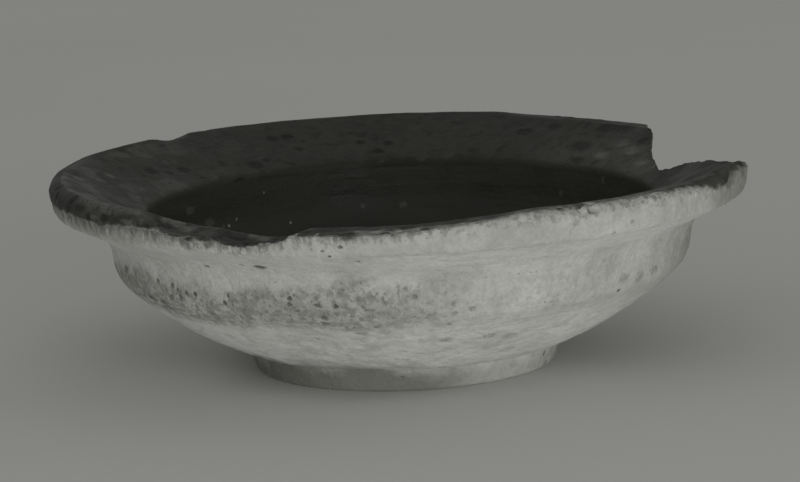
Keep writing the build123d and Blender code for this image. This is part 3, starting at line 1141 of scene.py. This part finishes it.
slip_specks = [
    (124.6, 50.4, 28.4, 0.45, 0.45), (140.9, 50.4, 28.1, 0.3, 0.3), (138.3, 49.7, 23.1, 0.5, 0.4),
    (136.6, 49.7, 23.1, 0.5, 0.5), (133.9, 50.0, 24.0, 0.35, 0.4), (139.4, 49.9, 24.4, 0.35, 0.4),
    (118.5, 49.1, 21.7, 0.5, 0.6),
]
slip_scuffs = [
    (33.2, 50.6, 30.6, 0.6, 1.0), (47.6, 50.3, 26.6, 0.6, 0.9), (89.3, 49.8, 23.3, 1.0, 0.7),
    (99.3, 49.8, 23.5, 0.6, 0.5), (150.0, 50.4, 28.0, 1.8, 1.0), (143.0, 50.0, 24.5, 1.6, 1.0),
]

dark_slip, tree, shader, place = new_finish("dark_slip")
clouds = mottle(90, 5, 0.35, 0.70)
lines = wheel_lines(420, 0.42, 0.62)
fine = mottle(1000, 3, 0.35, 0.65)
specks = scattered(230, 0.12, 0.06)
angle, _, height = turned_place()
# painted light: the sides of the inside are painted lighter than its far middle
painted_light_on_sides = times(ramp(maths("ABSOLUTE", angle), 168, 128), ramp(height, 12, 22))
colour = paint(
    SLIP_DARK, (SLIP_LIGHTER, clouds), (SLIP_DARK, lines, 0.3),
    (SLIP_SIDES_PAINTED_LIGHT, painted_light_on_sides, spread(clouds, 1.0, 0.75)), (GRIT, specks),
    (GRIT, marks(slip_scuffs), 0.35), (GRIT_PALE, marks(slip_specks, 0.8), fine, 1.2),
)
finish_off(
    colour, spread(clouds, 0.50, 0.64), DULL,
    (clouds, 0.12), (lines, 0.04), (fine, 0.03), (specks, 0.08),
)

# %% [markdown]
# ## Worn slip on the flare
# On the flare the slip is rubbed to a dark grey. It is scuffed lighter at the left, and
# small dark pits stand in a loose row around it. Those that the photograph shows are listed.

# %% Tones and single marks of the flare
SLIP_WORN = (0.019, 0.0187, 0.0152)
SLIP_SCUFFED = (0.036, 0.0355, 0.0300)
SLIP_BARE = (0.052, 0.051, 0.043)
SLIP_PIT = (0.008, 0.008, 0.006)

flare_pits = [
    (116.3, 61.1, 38.1, 1.2, 0.6), (113.0, 61.2, 38.1, 1.5, 0.6), (112.0, 56.7, 35.9, 1.0, 0.6),
    (152.6, 57.9, 36.5, 1.5, 0.8), (144.0, 55.8, 35.4, 1.4, 0.8), (148.8, 55.9, 35.5, 0.8, 0.6),
    (124.8, 53.2, 34.2, 1.6, 0.9), (121.4, 54.4, 34.8, 0.8, 0.6), (116.6, 51.8, 33.5, 1.2, 0.7),
    (98.0, 57.5, 36.3, 0.9, 0.6), (92.1, 56.6, 35.9, 1.0, 0.7), (94.6, 54.1, 34.6, 1.1, 0.5),
    (62.9, 60.0, 37.5, 1.8, 0.6), (57.0, 62.1, 38.6, 1.4, 0.7), (44.5, 63.0, 38.9, 2.6, 0.9),
    (40.5, 63.4, 39.1, 2.4, 0.9), (46.9, 56.6, 35.8, 2.6, 0.8), (43.8, 52.2, 33.7, 1.3, 0.7),
    (32.0, 60.5, 37.8, 1.4, 1.2), (176.7, 66.0, 40.5, 2.2, 0.9), (-14.3, 64.6, 38.9, 1.8, 0.9),
    (131.5, 50.8, 31.4, 1.2, 0.7), (136.6, 51.0, 32.8, 0.9, 0.6), (-23.5, 66.4, 39.0, 2.2, 1.4),
    (-19.5, 67.4, 38.8, 2.0, 1.2),
]
flare_scuffs = [
    (178.8, 64.1, 39.6, 1.8, 0.9), (-178.7, 62.0, 38.5, 1.9, 0.9), (-175.0, 60.8, 38.0, 1.8, 0.9),
    (-171.9, 60.0, 37.5, 1.9, 0.9), (-166.0, 62.5, 38.6, 2.4, 1.0), (-160.0, 65.0, 40.0, 2.6, 1.0),
    (172.4, 60.8, 37.9, 1.4, 0.8), (166.5, 60.8, 37.9, 1.4, 0.8), (171.9, 53.3, 34.2, 1.5, 0.5),
    (169.5, 51.8, 33.4, 0.9, 0.7), (165.0, 54.4, 34.7, 0.9, 0.8), (-153.0, 66.5, 40.4, 2.4, 0.8),
    (-146.0, 66.8, 40.4, 2.4, 0.8), (32.2, 57.4, 36.2, 2.6, 1.0), (38.9, 54.6, 34.8, 2.6, 0.8),
    (24.0, 55.0, 34.9, 2.4, 0.9), (36.7, 59.3, 37.2, 1.8, 1.2),
]

print("single marks:", len(flare_pits) + len(flare_scuffs))

# %% [markdown]
# Clouds, scratches, strokes and pits are painted over the whole flare. The left is rubbed
# the most, and beside the far end of the break the slip is lighter and blotched.

# %% Rubbed and pitted slip
worn_slip, tree, shader, place = new_finish("worn_slip_on_flare")
angle, reach, height = turned_place()
clouds = mottle(90, 5, 0.35, 0.70)
fine = mottle(800, 4, 0.35, 0.65)
scratches = wheel_lines(250, 0.48, 0.64)
patchy = mottle(230, 4, 0.42, 0.62)
at_left = window(angle, -150, -115, -90, -60)
strokes = mottle(120, 2, 0.52, 0.60)
blots = mottle(330, 4, 0.52, 0.68)
far_end = times(window(angle, 98, 108, 138, 152), ramp(reach, 63, 58))
pits = scattered(190, 0.14, 0.22)
pits = most(times(pits, 0.8), marks(flare_pits, 1.3))
scuffs = marks(flare_scuffs)
tip = window(angle, 54, 64, 99, 106)
colour = paint(
    SLIP_WORN, (SLIP_SCUFFED, clouds), (SLIP_WORN, fine, 0.3),
    (SLIP_SCUFFED, at_left, clouds, 0.35), (GRIT, scratches, at_left, patchy, 0.20),
    (GRIT, strokes, at_left, 0.30), (SLIP_SCUFFED, patchy, 0.45), (SLIP_PIT, blots, 0.6),
    (SLIP_BARE, far_end, ramp(blots, 0.6, 0.0, 0.1, 0.55)), (SLIP_PIT, pits, 0.95),
    (GRIT, scuffs, spread(patchy, 0.25, 0.7)), (SLIP_WORN, tip, 0.85),
)

# %% [markdown]
# Three borders are ragged: where the inside slip ends on the ledge, the rubbed crest, whose
# lighter line is also a painted highlight, and the stretch towards the viewer, where the slip
# is worn through to the clay.

# %% Ragged borders
# the inside slip ends raggedly on the ledge
edge_cloud = mottle(170, 4, 0.38, 0.62)
edge_specks = mottle(620, 3, 0.42, 0.58)
ragged = plus(times(edge_cloud, 1.5), times(edge_specks, 0.6))
ledge = minus(height, ragged)
# painted light: the inside tone is painted lighter at the sides, as in the dark slip
inside_tone = paint(SLIP_DARK, (SLIP_SIDES_PAINTED_LIGHT, ramp(maths("ABSOLUTE", angle), 168, 128)))
# the crest is rubbed lighter, most at the near left; the lighter line is also a painted highlight
near_side = window(angle, -112, -85, 60, 100)
rubbed_and_highlit_crest = times(ramp(reach, 65.2, 67.4), near_side, ramp(angle, -20, -50, 0.35, 1.0))
# painted shade: the far crest is painted darker, against the light that falls on it
far_crest_shade = times(ramp(reach, 65.8, 67.4), ramp(maths("ABSOLUTE", angle), 104, 118))
middle = mottle(260, 4, 0.38, 0.68)
tatters = noise(place, Scale=430, Detail=3)["Fac"]
start = ramp(angle, -4, 14, 64.4, 66.6)
worn = minus(plus(reach, times(minus(tatters, 0.5), 7)), start)
bare = times(ramp(worn, 0, 4.4), window(angle, -10, -5, 38, 50), 0.9)
scuffed = times(marks(bruise_scuffs, 1.4), spread(fine, 0.35, 0.8))
blotted = times(marks(bruise_blots, 1.4), spread(fine, 0.6, 1.0))
colour = paint(
    colour, (inside_tone, ramp(ledge, 32.4, 31.7)),
    (GRIT, rubbed_and_highlit_crest, spread(patchy, 0.25, 0.62)), (SLIP_PIT, far_crest_shade, 0.6),
    (paint(CLAY_DARK, (CLAY_MID, middle)), bare),
    (SLIP_PIT, marks(edge_blots, 1.4), 0.9), (GRIT, scuffed), (SLIP_PIT, blotted),
)
finish_off(
    colour, spread(clouds, 0.55, 0.75), DULL, (clouds, 0.15), (fine, 0.03), (pits, -0.3),
)

# %% [markdown]
# ## Slip left on the lip
# At the near left the slip still laps over the lip's outer face. Its lower border is ragged
# and stops at a height that changes around the bowl. Below that border the coat's skin
# takes the clay's colour, so that its edge can't be seen.

# %% Slip left on the lip
SCAR_GREY = (0.085, 0.085, 0.075)
lip_scars = [
    (-128.1, 67.9, 38.8, 1.6, 0.6), (-124.8, 69.4, 38.2, 1.5, 0.6), (-114.6, 67.6, 38.1, 1.6, 0.5),
    (-132.0, 68.7, 39.4, 1.6, 0.5), (-143.0, 69.9, 39.6, 2.2, 0.5), (-137.5, 70.0, 38.6, 2.0, 0.6),
    (-134.0, 70.0, 39.4, 1.4, 0.4), (-146.5, 70.1, 38.3, 1.4, 0.6),
]
# the darkest blobs of the slip that is left
lip_blobs = [
    (-151.5, 69.8, 39.3, 2.2, 0.9), (-148.3, 70.1, 37.8, 1.0, 0.8), (-143.2, 70.1, 38.6, 1.3, 0.8),
    (-161.0, 69.6, 39.6, 2.6, 1.0), (-155.5, 69.8, 38.6, 1.6, 0.8), (-139.0, 70.1, 37.6, 1.4, 0.7),
    (-132.7, 70.1, 37.9, 1.6, 0.6), (-125.2, 70.0, 36.9, 1.3, 0.6), (-128.0, 70.0, 37.6, 1.6, 0.6),
]
lip_slip, tree, shader, place = new_finish("worn_slip_on_lip")
angle, _, height = turned_place()
broad = mottle(75, 5, 0.36, 0.66)
fine = mottle(900, 3, 0.3, 0.7)
ragged = mottle(420, 3, 0.40, 0.60)
middle = mottle(260, 4, 0.38, 0.68)
# the lip's face is painted darker towards the left
lip_darkening = times(ramp(angle, -8, -52, 0.45, 0.9), spread(middle, 1.0, 0.65))
nibbles = mottle(640, 3, 0.50, 0.64)
blobs = marks(lip_blobs, 1.3)
scars = marks(lip_scars)
# the crest is painted lighter, as wear and as a painted highlight
crest_wear_and_highlight = times(ramp(height, 39.4, 40.5), ramp(fine, 0.1, 0.7, 0.4, 1.0))
above = kept_on_mesh("above_border")
left = group("slip_left", Above=above, Fringe=1.0)["Mask"]
clay_tone = paint(
    CLAY_MID, (CLAY_LIGHT, broad), (CLAY_DARK, fine, 0.20), (CLAY_DARK, lip_darkening),
    (CLAY_DARK, nibbles, 0.62),
)
slip_tone = paint(
    SLIP_BARE, (SLIP_WORN, ragged), (SLIP_SCUFFED, fine, 0.35), (SLIP_PIT, blobs, 0.9),
    (SCAR_GREY, scars, spread(fine, 0.4, 0.8)),
    (GRIT, crest_wear_and_highlight, ramp(angle, -76, -64, 0.0, 0.5)),
    (SLIP_PIT, ramp(angle, -60, -67, 0.0, 0.75)),
)
colour = paint(clay_tone, (slip_tone, left))
finish_off(
    colour, spread(left, 0.85, 0.6), DULL,
    (broad, 0.16), (ragged, 0.08), (fine, 0.05), (scars, -0.1),
)

# %% [markdown]
# ## Floor and light
# The floor is plain and pale. The light is soft: a broad key from the front right, which
# makes the right of the outside the brightest part, and a weaker fill from the left. A
# third light stands low in front, under the level of the floor. The floor casts no shadow,
# so this light reaches the bowl's underside, as if a pale table threw it back.

# %% Floor and light
FLOOR_DARK, FLOOR_LIGHT = (0.53, 0.53, 0.515), (0.56, 0.56, 0.545)
ROOM_TONE, ROOM_LIGHT = (1, 1, 0.98, 1), 0.38
LIT_PLACE = Vector((0, 0, 0.02))

floor_finish, tree, shader, place = new_finish("pale_floor")
tone = mottle(2, 2, 0.3, 0.7)
finish_off(paint(FLOOR_DARK, (FLOOR_LIGHT, tone)), 0.9, 0.1)

floor_sheet = draw("plane", size=8)
floor_sheet.name = "floor"
floor_sheet.data.materials.append(floor_finish)
floor_sheet.visible_shadow = False
floor_sheet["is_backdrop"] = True

scene.view_settings.view_transform = "Standard"
world = bpy.data.worlds.new("soft_room")
world.use_nodes = True
background = world.node_tree.nodes["Background"].inputs
background["Color"].default_value = ROOM_TONE
background["Strength"].default_value = ROOM_LIGHT
scene.world = world


def soft_light(name, place, size, power):
    """Square area light that faces the bowl."""
    light = bpy.data.lights.new(name, "AREA")
    light.size, light.energy = size, power
    lamp = bpy.data.objects.new(name, light)
    lamp.location = place
    lamp.rotation_euler = (LIT_PLACE - Vector(place)).to_track_quat("-Z", "Y").to_euler()
    scene.collection.objects.link(lamp)
    print(name, "light:", size, "m wide,", power, "W")


soft_light("key", (0.66, -1.42, 0.30), 0.6, 5.8)
soft_light("fill", (-0.9, -1.25, 0.25), 1.0, 2.6)
soft_light("light_table", (0.25, -0.9, -0.45), 0.9, 7)

# %% [markdown]
# ## Dress the CAD nodes
# Each piece rides on the body "root", stands for its CAD node, whose part is hidden, and
# takes its finish.

# %% Put the pieces in place of the nodes
pieces = [
    (thrown_body, "bowl_body", "fired_clay", clay),
    (everted_rim, "rim", "fired_clay", clay),
    (turned_foot, "foot_ring", "fired_clay", clay),
    (interior_coat, "interior_slip", "dark_slip", dark_slip),
    (flare_coat, "rim_slip", "worn_slip", worn_slip),
    (lip_coat, "lip_slip", "worn_slip", lip_slip),
]
for piece, node, slot, finish in pieces:
    piece.data.materials.clear()
    piece.data.materials.append(finish)
    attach(piece, "root")
    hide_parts(node)
    print(piece.name, "stands for", node)

# %% Print the boxes
visual_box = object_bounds()
sizes = {"cad": [list(corner) for corner in cad_box], "visual": [list(corner) for corner in visual_box]}
for name, box in sizes.items():
    print(name, "box in mm:", [[round(v / MM, 2) for v in corner] for corner in box])
